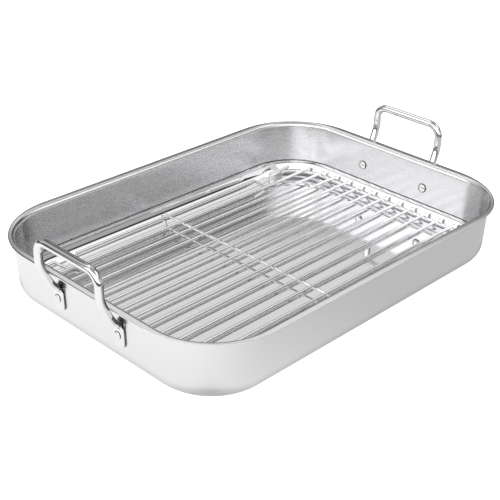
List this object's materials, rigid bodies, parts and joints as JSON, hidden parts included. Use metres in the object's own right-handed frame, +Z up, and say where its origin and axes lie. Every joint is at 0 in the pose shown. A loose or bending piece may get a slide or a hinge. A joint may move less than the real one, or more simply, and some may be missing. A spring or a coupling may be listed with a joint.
{
  "type": "roasting pan with rack",
  "caption": "Rectangular steel roasting pan with rounded corners, two riveted loop handles and a loose wire rack lying inside.",
  "frame": {"origin": "middle of the pan's underside, on the surface it stands on", "axes": "+X along the pan to its right handle, +Y across the pan to its back, +Z up"},
  "size_m": [0.4252, 0.29, 0.0951],
  "materials": {
    "pan_steel": "satin walls and rim, polished floor",
    "handle_steel": "polished",
    "rivet_steel": "polished",
    "rack_steel": "polished wire"
  },
  "bodies": {
    "pan": {"pan_body": "pan_steel", "handle_left": "handle_steel", "handle_right": "handle_steel", "rivet_left_front": "rivet_steel", "rivet_left_back": "rivet_steel", "rivet_right_front": "rivet_steel", "rivet_right_back": "rivet_steel"},
    "rack": {"rack_wire_01": "rack_steel", "rack_wire_02": "rack_steel", "rack_wire_03": "rack_steel", "rack_wire_04": "rack_steel", "rack_wire_05": "rack_steel", "rack_wire_06": "rack_steel", "rack_wire_07": "rack_steel", "rack_wire_08": "rack_steel", "rack_wire_09": "rack_steel", "rack_wire_10": "rack_steel", "rack_wire_11": "rack_steel", "rack_wire_12": "rack_steel", "rack_wire_13": "rack_steel", "rack_wire_14": "rack_steel", "rack_wire_15": "rack_steel", "rack_crossbar_left": "rack_steel", "rack_crossbar_middle": "rack_steel", "rack_crossbar_right": "rack_steel"}
  },
  "joints": [
    {"name": "rack_lift", "type": "slide", "parent": "pan", "child": "rack", "axis": [0, 0, 1], "range_m": [0, 0.12]}
  ]
}
